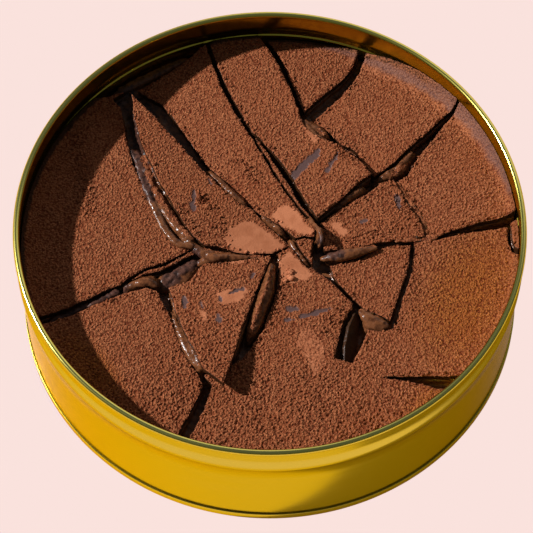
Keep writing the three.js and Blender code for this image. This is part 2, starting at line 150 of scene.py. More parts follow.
# Where the shell crumbled: middle, half length and half width in millimetres, heading
CRUMBLED = [
    ((47, 18), 9, 3.4, -62), ((52.5, 9), 7.5, 2.6, -60), ((24, 42.5), 12, 3.6, -38), ((14, 55), 4, 3, 0),
    ((27, 36.5), 6, 3, -45), ((-20.5, 10.5), 10, 3.2, -60), ((-30, 8.5), 9, 2.2, -60),
    ((28, 0.8), 9, 1.6, 12), ((44.5, -31), 5, 3, 90), ((51.5, -12), 14, 2, 84), ((22, -31), 7, 3, 65),
    ((-8, 30), 8, 2.4, -48), ((40, 4.5), 9, 2.2, 10), ((3, -23), 12, 2.2, 74), ((-68, 30), 22, 3, 100),
    ((18, 8), 3, 1.6, 30),
]

# How wide the smooth bare margin by the wall is: azimuth in degrees, width in millimetres
MARGIN = [
    (-10, 0), (8, 0), (14, 1), (22, 2.2), (35, 3), (45, 3.4), (55, 4), (64, 4), (70, 2.6), (85, 1.4),
    (100, 0.8), (150, 0), (250, 0),
]

# How high the shell's edge climbs the wall: azimuth in degrees, height in millimetres
CLIMB = [
    (-8, 1.2), (6, 2.2), (20, 3.4), (35, 4.2), (52, 4.6), (60, 3), (67, 0.8), (76, -0.6), (95, -0.6),
    (106, 1.2),
]

# Where the cream was torn rather than smeared: both ends of a stroke, half width
TORN = [
    ((-36.4, -15.6), (-33.2, -11.1), 3.6), ((-33.2, -11.1), (-26.2, -4.8), 3.6),
    ((-50.4, 56), (-47.3, 40.7), 2.4), ((-47.3, 40.7), (-42.6, 24), 2.4), ((-50.6, 40), (-42.6, 17), 2),
    ((18.6, -1.1), (24.9, -5.2), 3.4), ((-78, -32), (-49.8, -17.9), 2), ((-45, 57), (-60, 66), 6),
]

# Where cocoa and crumbs fell on the cream, as such strokes too
DUSTED = [
    ((-46, 35.6), (-41.8, 24), 1.5), ((-41.8, 24), (-37.4, 15), 1.8), ((-37.4, 15), (-32.2, 6.6), 1.8),
    ((-32.2, 6.6), (-26.8, 0.9), 1.4), ((-23, -2), (-12.3, -3.6), 1.2), ((-12.3, -3.6), (3.6, -6.1), 1.2),
    ((1.4, -12.3), (-2.8, -25.2), 0.8), ((-2.8, -25.2), (-7.3, -39), 0.9), ((32, -1.8), (44.5, 1.9), 1.4),
    ((32.3, -26), (42, -30.7), 0.7), ((17.6, 47.4), (23.7, 40.1), 0.9), ((43.6, 27.4), (51, 33.8), 1),
    ((-15.4, 24.9), (-10.7, 19.8), 1), ((-10.7, 19.8), (-7.8, 15.4), 0.9),
    ((-29.1, -36), (-23.4, -50.8), 0.7), ((44, 1.2), (60, 2.2), 1.4), ((45.6, 26), (50.6, 15.8), 1.6),
    ((50.6, 15.8), (56.3, 1.6), 1.6),
]

# Soft ropes of cream and crumbs on the banks: points as x, y, height of the crest, half width
ROPES = [
    [(-76.7, -31.6, 37, 0.7), (-72, -28.8, 37.7, 1), (-66.5, -26, 37.6, 0.9), (-59.6, -22.8, 37.9, 1),
     (-53.4, -19.6, 38.3, 0.9)],
    [(-33.4, -31, 38.4, 0.8), (-31.2, -36.5, 39.4, 1.2), (-29.1, -41.6, 39.8, 1.45),
     (-26.5, -46.6, 39.8, 1.45), (-23.9, -50.6, 39.2, 0.9)],
    [(-50, 39, 38, 0.6), (-47.4, 31, 38.7, 0.8), (-44.4, 21.6, 39.3, 0.95), (-41, 13.4, 39.5, 1.05),
     (-37.9, 6, 39.6, 1.05), (-34.2, 0.6, 39.5, 1), (-31.4, -1.4, 39.6, 0.95), (-27.6, -1.8, 39.4, 0.8)],
    [(-46.8, 36, 38.2, 0.9), (-42.6, 24, 39, 1.4), (-38.4, 15, 39.2, 1.5), (-33.2, 6.6, 39.2, 1.5),
     (-27.8, 0.8, 39.2, 1.2)],
    [(14.2, 9.2, 40, 0.6), (15.2, 6.8, 41.2, 0.8), (16.6, 4.3, 42.4, 0.9), (17.8, 1.7, 43.2, 0.95),
     (18.4, -0.6, 43.4, 0.95), (18.3, -2.5, 42.8, 0.85), (17.2, -3.4, 41.2, 0.7)],
    [(-17.2, 23.6, 39.6, 0.4), (-14.6, 20.5, 40.3, 0.6), (-11.7, 17.5, 40.3, 0.6), (-8.9, 14.8, 39.6, 0.4)],
    [(-25.5, -9.2, 38.8, 0.7), (-23.2, -7.9, 39.8, 1.2), (-19.7, -6.8, 40, 1.2), (-15.5, -6, 39.3, 0.8)],
    [(-48, -17.4, 38.9, 0.7), (-45.8, -16.7, 40.1, 1.2), (-42.4, -16.6, 40.2, 1.3),
     (-39.6, -17.8, 39, 0.8)],
    [(13, 51, 39.2, 0.6), (14.1, 47, 40.1, 1), (16.4, 43.8, 40.3, 1.1), (20.4, 42, 39.4, 0.7)],
    [(18.2, -6, 37.2, 0.6), (21, -5.6, 38.7, 1.3), (25, -5.2, 39.5, 1.8), (30, -4.3, 39.5, 1.6),
     (34.5, -2.9, 39, 1.1), (38, -1.8, 38.4, 0.7)],
    [(31.9, -26.7, 37.8, 0.9), (33.8, -29.7, 38.9, 1.7), (37, -31.7, 38.9, 1.9), (41.2, -33.1, 37.8, 1.2)],
    [(44.5, 1, 38.3, 0.6), (49.8, 1.2, 38.9, 0.7), (54.8, 1.5, 38.6, 0.7), (59.5, 2.1, 38.3, 0.6)],
    [(45.8, 24.7, 38.6, 0.6), (48.2, 19.8, 39, 0.9), (50.6, 15.8, 38.7, 1), (53.3, 11.3, 38.4, 1),
     (55.3, 6.5, 38.3, 0.8), (56.3, 2.1, 38.1, 0.6)],
]

# Rubble of broken shell: middle, half length and half width in millimetres, heading
RUBBLE = [
    ((47.5, 19), 7, 2.4, -62), ((52, 10.5), 6, 2, -60), ((27.5, 39), 3, 1.8, -40),
    ((24.5, 43.5), 3, 1.6, -40), ((13, 53), 2.5, 1.6, 0), ((55, 2), 5, 1.2, 5), ((-22, 13), 6, 1.6, -62),
    ((5.5, -18), 10, 1.2, 74), ((43.5, -31), 2.5, 1.5, 90), ((30, 1), 6, 0.9, 12), ((36, 11), 2.5, 1.6, 20),
    ((42, 8), 2, 1.6, 0), ((-22, -36), 2, 1.4, 60), ((-60, -50), 4, 1.5, -50),
]

# Where the cocoa is a yellower brown, as such ovals too
OCHRE = [
    ((68, -22), 24, 13, 70), ((58, -66), 12, 8, 40), ((62, 63), 10, 5, -40), ((-62, -50), 14, 6, -50),
]

# Where the near side's pressed patch shows only faintly, as such an oval too
FAINT_PRESS = ((18.5, -42), 16, 9, -60)

# How strongly the cocoa is clumped: middle, half length and half width, heading, strength
CLUMPED = [
    ((0, -70), 62, 26, 0, 1.5), ((-18, -30), 24, 16, 70, 0.8), ((-70, 0), 40, 18, 90, 0.3),
    ((38, 10), 14, 9, 20, 0.9), ((70, 10), 20, 8, 80, 0.35), ((0, 70), 60, 22, 0, -0.3),
    ((-27, 28), 30, 9, -55, -0.6),
]


def to_linear(hex_colour):
    """An sRGB hex colour as Blender's linear colour."""
    channels = [int(hex_colour[i : i + 2], 16) / 255 for i in (1, 3, 5)]
    linear = [c / 12.92 if c <= 0.04045 else ((c + 0.055) / 1.055) ** 2.4 for c in channels]
    return (*linear, 1)


def set_inputs(tree, node, values):
    """Links or sets the node's inputs, in their order or by name or number. Hex colours are made
    linear."""
    for key, value in values.items() if isinstance(values, dict) else enumerate(values):
        if isinstance(value, bpy.types.NodeSocket):
            tree.links.new(value, node.inputs[key])
        else:
            node.inputs[key].default_value = to_linear(value) if str(value).startswith("#") else value


def add(tree, kind, values=None, out=0, **settings):
    """Adds a node with its inputs and settings, and gives one of its outputs by name or number.
    A kind without a prefix is a shader node. Map Range's inputs are a value, its low and high, and
    what these become."""
    node = tree.nodes.new(kind if "Node" in kind else "ShaderNode" + kind)
    for name, value in settings.items():
        setattr(node, name, value)
    set_inputs(tree, node, values or [])
    return node.outputs[out] if node.outputs else None


def ramp(low, high, value):
    """0 up to low, 1 from high, and a smooth rise between."""
    t = np.clip((np.asarray(value, float) - low) / (high - low), 0, 1)
    return t * t * (3 - 2 * t)


def wander(places, width, seed):
    """A smooth random number from -1 to 1 for each point, in blotches of that width in millimetres."""
    table = np.random.default_rng(seed).uniform(-1, 1, (128, 128))
    cells = places[:, :2] / width + 1280
    low = np.floor(cells).astype(int)
    x, y = ramp(0, 1, cells - low).T
    i, j = (low % 128).T
    i_next, j_next = (i + 1) % 128, (j + 1) % 128
    near = table[i, j] * (1 - x) + table[i_next, j] * x
    far = table[i, j_next] * (1 - x) + table[i_next, j_next] * x
    return near * (1 - y) + far * y


def put_in_scene(name, data):
    """An object at the origin that holds the mesh, light or camera."""
    piece = bpy.data.objects.new(name, data)
    bpy.context.scene.collection.objects.link(piece)
    return piece


def evaluated_mesh(piece):
    """The piece's mesh with its modifiers applied, as a new plain mesh."""
    graph = bpy.context.evaluated_depsgraph_get()
    return bpy.data.meshes.new_from_object(piece.evaluated_get(graph), depsgraph=graph)


def merged_copy(node, name):
    """A merged copy of a CAD node's loose triangles."""
    mesh = frame["nodes"][node].data.copy()
    mesh.name = name
    work = bmesh.new()
    work.from_mesh(mesh)
    bmesh.ops.remove_doubles(work, verts=work.verts, dist=0.002 * MM)
    work.to_mesh(mesh)
    work.free()
    return mesh


def remeshed(mesh, name, voxel):
    """The mesh rebuilt in small even quads, its edges a little rounded."""
    piece = put_in_scene(name, mesh)
    modifier = piece.modifiers.new("Remesh", "REMESH")
    modifier.mode = "VOXEL"
    modifier.voxel_size = voxel
    modifier.use_smooth_shade = True
    fine = evaluated_mesh(piece)
    piece.modifiers.clear()
    piece.data = fine
    fine.name = name
    bpy.data.meshes.remove(mesh)
    return piece


def corners(mesh):
    """The mesh's points in millimetres and its normals."""
    places = np.empty(len(mesh.vertices) * 3)
    mesh.vertices.foreach_get("co", places)
    normals = np.empty(len(mesh.vertices) * 3)
    mesh.vertices.foreach_get("normal", normals)
    return places.reshape(-1, 3) / MM, normals.reshape(-1, 3)


def move_corners(mesh, places):
    """Sets the mesh's points, given in millimetres."""
    mesh.vertices.foreach_set("co", (places * MM).ravel())
    mesh.update()


def store(mesh, **numbers):
    """Keeps a number for each point under its name, for the material and the tree of nodes."""
    for name, values in numbers.items():
        attribute = mesh.attributes.get(name) or mesh.attributes.new(name, "FLOAT", "POINT")
        attribute.data.foreach_set("value", np.asarray(values, np.float32))


def in_ovals(places, ovals, edge=0.35):
    """1 inside any of the ovals, 0 outside, soft over a share of their size."""
    found = np.zeros(len(places))
    for (x, y), half_length, half_width, heading in ovals:
        turn = radians(heading)
        dx, dy = places[:, 0] - x, places[:, 1] - y
        along = (dx * cos(turn) + dy * sin(turn)) / half_length
        across = (dy * cos(turn) - dx * sin(turn)) / half_width
        found = np.maximum(found, 1 - ramp(1 - edge, 1 + edge, np.hypot(along, across)))
    return found


def in_outlines(places, outlines, ragged):
    """1 inside any of the outlines, 0 outside, with ragged borders in millimetres."""
    found = np.zeros(len(places))
    x, y = places[:, 0], places[:, 1]
    fray = ragged * (wander(places, 1.6, 21) + 0.6 * wander(places, 0.7, 22))
    for outline in outlines:
        nearest = np.full(len(places), 1e9)
        odd = np.zeros(len(places), bool)
        for (x0, y0), (x1, y1) in zip(outline, outline[1:] + outline[:1]):
            dx, dy = x1 - x0, y1 - y0
            t = np.clip(((x - x0) * dx + (y - y0) * dy) / (dx * dx + dy * dy), 0, 1)
            nearest = np.minimum(nearest, np.hypot(x - x0 - t * dx, y - y0 - t * dy))
            if dy:
                odd ^= ((y0 > y) != (y1 > y)) & (x < x0 + (y - y0) * dx / dy)
        depth = np.where(odd, nearest, -nearest) + fray
        found = np.maximum(found, ramp(-0.8, 1, depth))
    return found


def on_strokes(places, strokes):
    """1 on any of the strokes, 0 off them, with ragged sides and ends."""
    found = np.zeros(len(places))
    fray = 0.6 * wander(places, 1.5, 31) + 0.35 * wander(places, 0.6, 32)
    for start, end, half_width in strokes:
        a, b = np.array(start), np.array(end)
        span = b - a
        t = np.clip(((places[:, :2] - a) @ span) / (span @ span), 0, 1)
        gap = np.linalg.norm(places[:, :2] - a - t[:, None] * span, axis=1)
        half = half_width * (0.5 + 0.5 * np.sqrt(1 - (2 * t - 1) ** 2))
        found = np.maximum(found, 1 - ramp(half - 0.2, half + 0.2, gap + fray))
    return found


def lip_distance(mesh, places):
    """How far each point is from the broken edge round the flat top, in millimetres."""
    work = bmesh.new()
    work.from_mesh(mesh)
    lips = []
    for edge in work.edges:
        ups = [face.normal.z > 0.7 for face in edge.link_faces]
        if len(ups) == 2 and ups[0] != ups[1]:
            a, b = (np.array(vert.co) / MM for vert in edge.verts)
            if (a[2] + b[2]) / 2 > np.array(edge.link_faces[0].calc_center_median())[2] / MM - 2:
                steps = max(1, int(np.linalg.norm(b - a) / 0.4))
                lips += [a + (b - a) * k / steps for k in range(steps)]
    work.free()
    lips = [lip for lip in lips if hypot(*lip[:2]) < CAKE_RADIUS_MM - 0.5]
    tree = kdtree.KDTree(len(lips))
    for i, lip in enumerate(lips):
        tree.insert((*lip[:2], 0), i)
    tree.balance()
    return np.array([tree.find((x, y, 0))[2] for x, y in places[:, :2]])


def top_plane(mesh):
    """The slope and height of the flat top: z = a x + b y + c, in millimetres."""
    mesh.update()
    rows, heights = [], []
    for face in mesh.polygons:
        if face.normal.z > 0.7 and face.center.z > 0:
            for index in face.vertices:
                x, y, z = mesh.vertices[index].co / MM
                rows.append((x, y, 1))
                heights.append(z)
    return np.linalg.lstsq(np.array(rows), np.array(heights), rcond=None)[0]


def new_tree(name, sockets):
    """An empty tree of geometry nodes with those inputs, and its input node's sockets."""
    tree = bpy.data.node_groups.new(name, "GeometryNodeTree")
    for label, kind in [("Geometry", "Geometry"), *sockets, ("Material", "Material")]:
        tree.interface.new_socket(name=label, in_out="INPUT", socket_type="NodeSocket" + kind)
    tree.interface.new_socket(name="Geometry", in_out="OUTPUT", socket_type="NodeSocketGeometry")
    return tree, tree.nodes.new("NodeGroupInput").outputs


def end_tree(tree, given, result):
    """Ends the tree: its instances made real, and its material set."""
    real = add(tree, "GeometryNodeRealizeInstances", [result])
    dressed = add(tree, "GeometryNodeSetMaterial", {"Geometry": real, "Material": given["Material"]})
    add(tree, "NodeGroupOutput", [dressed])
    return tree


def relief_tree():
    """A tree that roughens a surface along its normals, as far as each point's relief says."""
    sizes = [(name, "Float") for name in RELIEF_SIZES]
    tree, given = new_tree("Crusted surface", sizes + [("Shift", "Vector")])
    place = add(tree, "GeometryNodeInputPosition")
    moved = add(tree, "VectorMath", [place, given["Shift"]], operation="ADD")
    normal = add(tree, "GeometryNodeInputNormal")
    relief = add(tree, "GeometryNodeInputNamedAttribute", {"Name": "relief"}, data_type="FLOAT")
    per_grain = add(tree, "Math", [1, given["Grain width"]], operation="DIVIDE")
    per_lump = add(tree, "Math", [1, given["Lump width"]], operation="DIVIDE")
    grain = add(tree, "TexVoronoi", {"Vector": moved, "Scale": per_grain}, out="Distance")
    patchy = add(tree, "TexNoise", {"Vector": moved, "Scale": per_grain, "Detail": 1})
    lump = add(tree, "TexNoise", {"Vector": moved, "Scale": per_lump, "Detail": 2})
    domes = add(tree, "Math", [0, grain], operation="SUBTRACT")
    rise = add(tree, "Math", [patchy, 1.4, domes], operation="MULTIPLY_ADD")
    fine = add(tree, "Math", [rise, -0.25], operation="ADD")
    fine_depth = add(tree, "Math", [fine, given["Grain depth"]], operation="MULTIPLY")
    swell = add(tree, "Math", [lump, 0.5], operation="SUBTRACT")
    both = add(tree, "Math", [swell, given["Lump depth"], fine_depth], operation="MULTIPLY_ADD")
    height = add(tree, "Math", [both, relief], operation="MULTIPLY")
    offset = add(tree, "VectorMath", {0: normal, "Scale": height}, operation="SCALE")
    values = {"Geometry": given["Geometry"], "Name": "grain_rise", "Value": fine}
    noted = add(tree, "GeometryNodeStoreNamedAttribute", values, data_type="FLOAT", domain="POINT")
    rough = add(tree, "GeometryNodeSetPosition", {"Geometry": noted, "Offset": offset})
    return end_tree(tree, given, rough)


def roughen(piece, sizes, shift, material):
    """Gives the piece its fine relief, from the widths and depths of its grain and lumps."""
    tree = bpy.data.node_groups.get("Crusted surface") or relief_tree()
    values = dict(zip(RELIEF_SIZES, sizes), Shift=shift, Material=material)
    run_tree(piece, tree, values)


def crumb_tree():
    """A tree that scatters small broken crumbs over a surface, where each point's crumbly says."""
    sizes = ["Crumbs per square metre", "Smallest", "Largest"]
    tree, given = new_tree("Scattered crumbs", [(name, "Float") for name in sizes] + [("Seed", "Int")])
    seed = given["Seed"]
    crumbly = add(tree, "GeometryNodeInputNamedAttribute", {"Name": "crumbly"}, data_type="FLOAT")
    density = add(tree, "Math", [crumbly, given["Crumbs per square metre"]], operation="MULTIPLY")
    values = {"Mesh": given["Geometry"], "Density": density, "Seed": seed}
    points = add(tree, "GeometryNodeDistributePointsOnFaces", values)
    crumb = add(tree, "GeometryNodeMeshIcoSphere", {"Radius": 1, "Subdivisions": 1})
    values = {"Max": (6.28, 6.28, 6.28), "Seed": seed}
    turn = add(tree, "FunctionNodeRandomValue", values, data_type="FLOAT_VECTOR")
    share = add(tree, "FunctionNodeRandomValue", {"Seed": seed}, data_type="FLOAT", out=1)
    skewed = add(tree, "Math", [share, 2.2], operation="POWER")
    size = add(tree, "MapRange", [skewed, 0, 1, given["Smallest"], given["Largest"]])
    values = {"Min": (0.5, 0.5, 0.4), "Max": (1.2, 1.2, 0.9), "Seed": seed}
    squash = add(tree, "FunctionNodeRandomValue", values, data_type="FLOAT_VECTOR")
    scale = add(tree, "VectorMath", {0: squash, "Scale": size}, operation="SCALE")
    values = {"Points": points, "Instance": crumb, "Rotation": turn, "Scale": scale}
    placed = add(tree, "GeometryNodeInstanceOnPoints", values)
    return end_tree(tree, given, placed)


def run_tree(piece, tree, values):
    """Runs the tree on the piece and keeps the result as its plain mesh."""
    modifier = piece.modifiers.new(tree.name, "NODES")
    modifier.node_group = tree
    for item in tree.interface.items_tree:
        if item.in_out == "INPUT" and item.name in values:
            modifier[item.identifier] = values[item.name]
    old = piece.data
    result = evaluated_mesh(piece)
    piece.modifiers.clear()
    piece.data = result
    bpy.data.meshes.remove(old)
    result.name = piece.name


def clear_underside(piece, below):
    """Swaps the fine quads of a hidden flat underside for a single face."""
    work = bmesh.new()
    work.from_mesh(piece.data)
    hidden = [face for face in work.faces if below(face)]
    bmesh.ops.delete(work, geom=hidden, context="FACES")
    rim = [edge for edge in work.edges if edge.is_boundary]
    bmesh.ops.holes_fill(work, edges=rim, sides=0)
    loose = [vert for vert in work.verts if not vert.link_faces]
    bmesh.ops.delete(work, geom=loose, context="VERTS")
    bmesh.ops.recalc_face_normals(work, faces=work.faces)
    work.to_mesh(piece.data)
    work.free()


def painted(name):
    """A new material, its node tree and its shader."""
    material = bpy.data.materials.new(name)
    material.use_nodes = True
    return material, material.node_tree, material.node_tree.nodes["Principled BSDF"]


def gold_lacquer(settings):
    """Tinplate under a thin clear gold lacquer, rolled: a gold mirror with faint lines round it.
    The rolled rim's crest is painted a paler gold, a painted highlight along the rim."""
    material, tree, shader = painted("gold_lacquered_tinplate")
    place = add(tree, "TexCoord", out="Object")
    drawn = add(tree, "Mapping", {"Vector": place, "Scale": (0.03, 0.03, 1)})
    # The lines left by the rollers are a fraction of a millimetre apart, and are drawn coarser
    lines = add(tree, "TexNoise", {"Vector": drawn, "Scale": 1 / (1.3 * MM), "Detail": 3})
    height = add(tree, "SeparateXYZ", [place], out=2)
    # The crest is painted a paler gold: a painted highlight along the rolled rim
    crest = add(tree, "MapRange", [height, 52.6 * MM, 52.95 * MM])
    values = {"Factor": crest, 6: settings.gold, 7: settings.painted_crest_highlight}
    colour = add(tree, "Mix", values, out=2, data_type="RGBA")
    curl = add(tree, "MapRange", [height, 50.7 * MM, 51.5 * MM, 0, -0.03])
    streaks = add(tree, "MapRange", [lines, 0.3, 0.7, 0.2, 0.26])
    dull = add(tree, "Math", [streaks, curl], operation="ADD")
    bump = add(tree, "Bump", {"Strength": 0.05, "Distance": 0.05 * MM, "Height": lines})
    values = {"Base Color": colour, "Roughness": dull, "Normal": bump, "Metallic": 1}
    set_inputs(tree, shader, {**values, "Specular Tint": settings.gold_edge})
    return material


def cocoa_powder(tree, settings, place):
    """Nodes for moist clumps of cocoa, paler on top and darker in the pits between them: painted shade in
    the pits and painted light on the tops, over the cocoa's own tone.
    Returns the powder's colour and its fine height."""
    rise = add(tree, "Attribute", out="Fac", attribute_name="grain_rise")
    # Single clumps of powder are half a millimetre wide; they are drawn a little coarser, to be seen
    grains = add(tree, "TexVoronoi", {"Vector": place, "Scale": 1 / (0.85 * MM)}, out="Distance")
    values = {"Vector": place, "Scale": 1 / (0.6 * MM), "Detail": 1, "Roughness": 0.5}
    powdery = add(tree, "TexNoise", values)
    patches = add(tree, "TexNoise", {"Vector": place, "Scale": 1 / (13 * MM)})
    speckle = add(tree, "Math", [powdery, 1.5, -0.75], operation="MULTIPLY_ADD")
    height = add(tree, "Math", [speckle, grains], operation="SUBTRACT")
    total = add(tree, "Math", [rise, 0.5, height], operation="MULTIPLY_ADD")
    # The pits are painted darker and the tops paler: painted shade and painted light on the grain
    shade = add(tree, "MapRange", [total, -0.95, 0])
    values = {"Factor": shade, 6: settings.cocoa_pit_shade, 7: settings.cocoa_top_light}
    powder = add(tree, "Mix", values, out=2, data_type="RGBA")
    patchy = add(tree, "MapRange", [patches, 0.35, 0.65, 0, 0.3])
    values = {"Factor": patchy, 6: powder, 7: settings.cocoa_mid}
    return add(tree, "Mix", values, out=2, data_type="RGBA"), height


def cocoa_shell(settings):
    """Cocoa powder in moist clumps on hard chocolate: quite matt, with painted shade in its pits, and bare,
    greyish chocolate with a soft shine where it is scraped or where the powder stops.
    The sides of the break take a dark brown that is partly the chocolate's own colour and partly painted
    shade, and a band along the wall is darker."""
    material, tree, shader = painted("cocoa_dusted_chocolate")
    place = add(tree, "TexCoord", out="Object")
    powder, height = cocoa_powder(tree, settings, place)
    ochre, pressed, scraped, broken, damp = (
        add(tree, "Attribute", out="Fac", attribute_name=name)
        for name in ("ochre", "pressed", "scraped", "broken", "damp")
    )
    packed = add(tree, "Math", [height, 0.4, pressed], operation="MULTIPLY_ADD")
    smooth = add(tree, "MapRange", [packed, 0.1, 0.6])
    rubbed = add(tree, "TexNoise", {"Vector": place, "Scale": 1 / (4 * MM)})
    rub = add(tree, "MapRange", [rubbed, 0.35, 0.6, 0.62])
    values = {"Factor": rub, 6: settings.cocoa_mid, 7: settings.cocoa_pressed}
    firm = add(tree, "Mix", values, out=2, data_type="RGBA")
    # The sides of the break are a dark brown, partly the chocolate's own colour and partly painted shade
    values = {"Factor": broken, 6: settings.bare_chocolate, 7: settings.broken}
    bare = add(tree, "Mix", values, out=2, data_type="RGBA")
    uncovered = add(tree, "Math", [scraped, broken], operation="MAXIMUM")
    colour = powder
    # A band along the wall is made darker with that same dark brown
    layers = [(damp, settings.broken, "MIX"), (ochre, settings.cocoa_ochre, "MULTIPLY")]
    for share, layer, blend in layers + [(smooth, firm, "MIX"), (uncovered, bare, "MIX")]:
        values = {"Factor": share, 6: colour, 7: layer}
        colour = add(tree, "Mix", values, out=2, data_type="RGBA", blend_type=blend)
    dull = add(tree, "MapRange", [uncovered, 0, 1, 0.85, 0.42])
    even = add(tree, "Math", [uncovered, smooth], operation="MAXIMUM")
    strength = add(tree, "MapRange", [even, 0, 1, 1, 0.1])
    bump = add(tree, "Bump", {"Strength": strength, "Distance": 0.45 * MM, "Height": height})
    values = {"Base Color": colour, "Roughness": dull, "Normal": bump, "Specular IOR Level": 0.2}
    set_inputs(tree, shader, values)
    return material


def chocolate_cream(settings, cocoa):
    """Chocolate cream, smeared in streaks and moist, or torn, darker and lumpy, and with cocoa
    and crumbs fallen on it that are matt."""
    material, tree, shader = painted("chocolate_cream")
    place = add(tree, "TexCoord", out="Object")
    # The fallen cocoa has the same painted shade in its pits and painted light on its tops
    powder, powder_height = cocoa_powder(tree, cocoa, place)
    torn, dusted = (add(tree, "Attribute", out="Fac", attribute_name=name) for name in ("torn", "dusted"))
    mottle = add(tree, "TexNoise", {"Vector": place, "Scale": 1 / (1.6 * MM), "Detail": 3})
    streak = add(tree, "MapRange", [mottle, 0.36, 0.56])
    thick = add(tree, "Math", [powder_height, 0.8, dusted], operation="MULTIPLY_ADD")
    powdered = add(tree, "MapRange", [thick, 0.1, 0.3])
    values = {"Factor": streak, 6: settings.torn_dark, 7: settings.torn}
    rough = add(tree, "Mix", values, out=2, data_type="RGBA")
    values = {"Factor": streak, 6: settings.cream_dark, 7: settings.cream}
    colour = add(tree, "Mix", values, out=2, data_type="RGBA")
    for share, layer in ((torn, rough), (powdered, powder)):
        colour = add(tree, "Mix", {"Factor": share, 6: colour, 7: layer}, out=2, data_type="RGBA")
    matt = add(tree, "Math", [torn, 0.3], operation="MULTIPLY")
    matt = add(tree, "Math", [matt, powdered], operation="MAXIMUM")
    dull = add(tree, "MapRange", [matt, 0, 1, 0.24, 0.8])
    grit = add(tree, "Math", [powder_height, powdered], operation="MULTIPLY")
    height = add(tree, "Math", [mottle, grit], operation="ADD")
    bump = add(tree, "Bump", {"Strength": 0.8, "Distance": 0.36 * MM, "Height": height})
    values = {"Base Color": colour, "Roughness": dull, "Normal": bump, "Specular IOR Level": 0.22}
    set_inputs(tree, shader, values)
    return material


def turned(name, outline, sides):
    """A closed piece turned about the tin's axis from points of radius and height in millimetres."""
    work = bmesh.new()
    rings = []
    for radius, height in outline:
        if radius == 0:
            rings.append([work.verts.new((0, 0, height * MM))] * sides)
            continue
        ring = []
        for k in range(sides):
            angle = 2 * pi * k / sides
            place = (radius * MM * cos(angle), radius * MM * sin(angle), height * MM)
            ring.append(work.verts.new(place))
        rings.append(ring)
    joined = list(zip(rings, rings[1:]))
    if outline[0][0] > 0:
        joined.append((rings[-1], rings[0]))
    for lower, upper in joined:
        for k in range(sides):
            m = (k + 1) % sides
            once = list(dict.fromkeys((lower[k], lower[m], upper[m], upper[k])))
            if len(once) > 2:
                work.faces.new(once)
    bmesh.ops.recalc_face_normals(work, faces=work.faces)
    mesh = bpy.data.meshes.new(name)
    work.to_mesh(mesh)
    work.free()
    mesh.shade_smooth()
    mesh.set_sharp_from_angle(angle=radians(40))
    return put_in_scene(name, mesh)


def tin_wall_line(radius):
    """The wall's line from its foot to the neck: a crisp step up on to the bead, a soft fall off it."""
    heights = [BASE_TOP_MM + 0.3, 12, 22, 32, BEAD_FOOT_MM]
    heights += list(np.linspace(BEAD_FOOT_MM + 0.12, BEAD_CREST_MM, 5))
    heights += list(np.linspace(BEAD_CREST_MM + 0.45, BEAD_TOP_MM, 15))
    step = NECK_INSET_MM - WALL_INSET_MM
    line = []
    for height in heights:
        up = ramp(BEAD_FOOT_MM, BEAD_CREST_MM, height)
        down = ramp(BEAD_FALL_MM - 1.2, BEAD_TOP_MM, height)
        along = min(1, max(0, (height - BEAD_CREST_MM) / 3.4))
        proud = BEAD_PROUD_MM + BEAD_CROWN_MM * sin(pi * along)
        line.append((radius + float(up * proud - down * (proud + step)), height))
    return line


def tin_body_outline():
    """The whole section of the tin's wall with its bead and rolled rim."""
    wall = TIN_RADIUS_MM - WALL_INSET_MM
    neck = TIN_RADIUS_MM - NECK_INSET_MM
    centre = (TIN_RADIUS_MM - CURL_RADIUS_MM, TIN_HEIGHT_MM - CURL_RADIUS_MM)
    start = -acos((neck - centre[0]) / CURL_RADIUS_MM)
    end = 2 * pi - acos((neck - SHEET_MM - centre[0]) / CURL_RADIUS_MM)
    curl = [
        (centre[0] + CURL_RADIUS_MM * cos(angle), centre[1] + CURL_RADIUS_MM * sin(angle))
        for angle in np.linspace(start, end, 28)
    ]
    return tin_wall_line(wall) + curl + tin_wall_line(wall - SHEET_MM)[::-1]


def tin_base_outline():
    """The section of the bottom panel and of the folded seam that it is held by."""
    seam = TIN_RADIUS_MM - SEAM_WIDTH_MM
    line = [(0, PANEL_LOW_MM), (seam - SEAM_BEND_MM, PANEL_LOW_MM), (seam - 0.1, PANEL_LOW_MM - 0.15)]
    line += [(seam, PANEL_LOW_MM - SEAM_BEND_MM), (seam, SEAM_BEND_MM)]
    # Each round: the middle's radius and height, the bend's radius, and its turns from straight out
    outer_foot = (TIN_RADIUS_MM - SEAM_BEND_MM, SEAM_BEND_MM, SEAM_BEND_MM, (-90, -60, -30, 0))
    fold = (TIN_RADIUS_MM - SEAM_FOLD_MM, BASE_TOP_MM - SEAM_FOLD_MM, SEAM_FOLD_MM, (0, 30, 60, 90))
    inner_foot = (seam + SEAM_BEND_MM, SEAM_BEND_MM, SEAM_BEND_MM, (210, 240, 270))
    for radius, height, bend, turns in (inner_foot, outer_foot, fold):
        for turn in turns:
            a = radians(turn)
            line.append((radius + bend * cos(a), height + bend * sin(a)))
    return line + [(seam, BASE_TOP_MM), (seam - 0.3, PANEL_HIGH_MM), (0, PANEL_HIGH_MM)]


